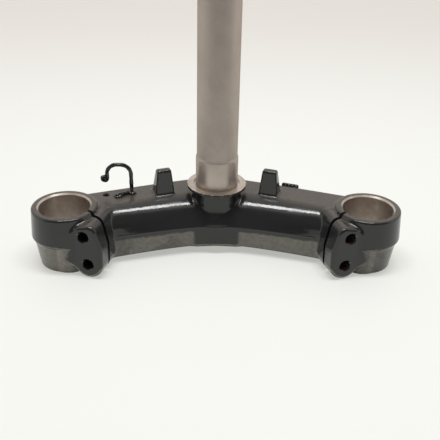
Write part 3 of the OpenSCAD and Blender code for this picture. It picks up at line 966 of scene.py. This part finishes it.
def finish_at(c):
    """Which finish the surface has at a point given in millimetres."""
    on_wall, on_chamfer, on_hole = 0.1, 0.05, 0.02
    rim_edge, mouth_edge, floor_depth, behind_taps = 0.3, 0.4, 1.2, -20
    x, y, z = c
    rho = math.hypot(abs(x) - CLAMP_X, y - CLAMP_Y)
    in_chamfer = rho < FORK_R + BORE_CHAMFER - on_chamfer and z > CLAMP_H - BORE_CHAMFER - on_chamfer
    if rho < FORK_R + on_wall or in_chamfer:
        return BARE
    from_stem = math.hypot(x, y)
    if from_stem < STEM_R + on_wall or (from_stem < BOSS_R - rim_edge and z > SEAT_LOW - on_wall):
        return BARE
    from_screw = math.hypot(x - SCREW_AT[0], y - SCREW_AT[1])
    if from_screw < SCREW_R + SCREW_MOUTH and z < ARM_TOP - mouth_edge:
        return RUSTY
    u, v = lug_frame(abs(x), y)
    for bolt_u, bolt_z in (UPPER_BOLT, LOWER_BOLT):
        reach = math.hypot(u - bolt_u, z - bolt_z)
        worn_floor = x > 0 and z < bolt_z - floor_depth and reach < BOLT_R + on_hole
        if v > behind_taps and (reach < TAP_R + on_hole or worn_floor):
            return RUSTY
    return PAINT


for face in yoke.data.polygons:
    face.material_index = finish_at(face.center / MM)
stem.data.materials.append(turned_steel())
guide.data.materials.append(wire_black())

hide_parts("lower_yoke")
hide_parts("steering_stem")
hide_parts("cable_guide")
for piece in (yoke, stem, guide):
    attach(piece, "root")


# Studio

CAMERA_AT, CAMERA_TURNS = (-12.73, -534.50, 319.98), (1.7375, 29.345, 1.235)
FOCAL_PIXELS, FRAME_PIXELS, SENSOR_W = 709.4, 440, 36
LAMP_AT, LAMP_AIM, LAMP_SIZE, LAMP_WATTS = (0.02, -0.10, 1.0), (0.02, 0, 0), (0.66, 0.17), 6.0
GLOW_NEAR, GLOW_FAR = (0.43, 0.435, 0.41), (0.38, 0.35, 0.315)
ROOM_LIT, ROOM_SEEN = (0.62, 0.61, 0.59), (0.885, 0.85, 0.80)


def camera():
    """Camera at the photo's place, with yaw to the right, pitch down and roll in degrees."""
    data = bpy.data.cameras.new("camera")
    cam = bpy.data.objects.new("camera", data)
    bpy.context.collection.objects.link(cam)
    yaw, pitch, roll = (math.radians(a) for a in CAMERA_TURNS)
    ahead = Vector((math.sin(yaw) * math.cos(pitch), math.cos(yaw) * math.cos(pitch), -math.sin(pitch)))
    level = Vector((math.cos(yaw), -math.sin(yaw), 0))
    upright = level.cross(ahead)
    right = math.cos(roll) * level + math.sin(roll) * upright
    up = -math.sin(roll) * level + math.cos(roll) * upright
    m = Matrix((right, up, -ahead)).transposed().to_4x4()
    m.translation = Vector(CAMERA_AT) * MM
    cam.matrix_world = m
    data.sensor_width = SENSOR_W
    data.lens = FOCAL_PIXELS / FRAME_PIXELS * SENSOR_W
    data.clip_start = 0.01
    bpy.context.scene.camera = cam


def softbox(name, at, target, size, power):
    data = bpy.data.lights.new(name, "AREA")
    data.shape = "RECTANGLE"
    data.size, data.size_y = size
    data.energy = power
    lamp = bpy.data.objects.new(name, data)
    bpy.context.collection.objects.link(lamp)
    lamp.location = at
    lamp.rotation_euler = (Vector(target) - Vector(at)).to_track_quat("-Z", "Y").to_euler()


def seen_directly(tree):
    """1 for camera, glossy and transmission rays, which all see the pale surroundings."""
    path = tree.nodes.new("ShaderNodeLightPath")
    seen = calc(tree, "MAXIMUM", path.outputs["Is Camera Ray"], path.outputs["Is Glossy Ray"])
    return calc(tree, "MAXIMUM", seen, path.outputs["Is Transmission Ray"])


def table_white():
    """White table top that answers the lamp by half and shows pale by itself for the rest."""
    mat, tree, shader = new_material("table_white")
    shader.inputs["Base Color"].default_value = (0.50, 0.50, 0.49, 1)
    shader.inputs["Roughness"].default_value = 0.6
    near_y, far_y = 0.1, 0.9
    far = ramp(tree, place_along(tree, "Y"), near_y, far_y)
    tree.links.new(blend_colour(tree, far, GLOW_NEAR, GLOW_FAR), shader.inputs["Emission Color"])
    tree.links.new(seen_directly(tree), shader.inputs["Emission Strength"])
    return mat


def dark_room():
    """The dim side of the room behind the camera, which only reflections show."""
    mat, tree, shader = new_material("dark_room")
    shader.inputs["Base Color"].default_value = (0.10, 0.10, 0.104, 1)
    shader.inputs["Roughness"].default_value = 0.9
    path = tree.nodes.new("ShaderNodeLightPath")
    tree.links.new(calc(tree, "SUBTRACT", 1.0, path.outputs["Is Camera Ray"]), shader.inputs["Alpha"])
    return mat


def stage_plane(name, corners, finish):
    bm = bmesh.new()
    bm.faces.new([bm.verts.new(c) for c in corners])
    obj = object_of(bm, name)
    obj.data.materials.append(finish)


def stage():
    side, near, far = 1.6, -0.75, 1.1
    table = [(-side, near, 0), (side, near, 0), (side, far, 0), (-side, far, 0)]
    stage_plane("table", table, table_white())
    side, away, low, high = 1.8, -0.85, -0.6, 2.0
    screen = [(-side, away, low), (-side, away, high), (side, away, high), (side, away, low)]
    stage_plane("dark_room", screen, dark_room())


def surroundings():
    """Pale room, a little darker as a light than as it is seen."""
    world = bpy.data.worlds.new("studio")
    bpy.context.scene.world = world
    world.use_nodes = True
    tree = world.node_tree
    tree.nodes.clear()
    out = tree.nodes.new("ShaderNodeOutputWorld")
    back = tree.nodes.new("ShaderNodeBackground")
    tree.links.new(back.outputs[0], out.inputs[0])
    tree.links.new(blend_colour(tree, seen_directly(tree), ROOM_LIT, ROOM_SEEN), back.inputs["Color"])


camera()
bpy.context.scene.view_settings.view_transform = "Standard"
softbox("top_softbox", LAMP_AT, LAMP_AIM, LAMP_SIZE, LAMP_WATTS)
stage()
surroundings()
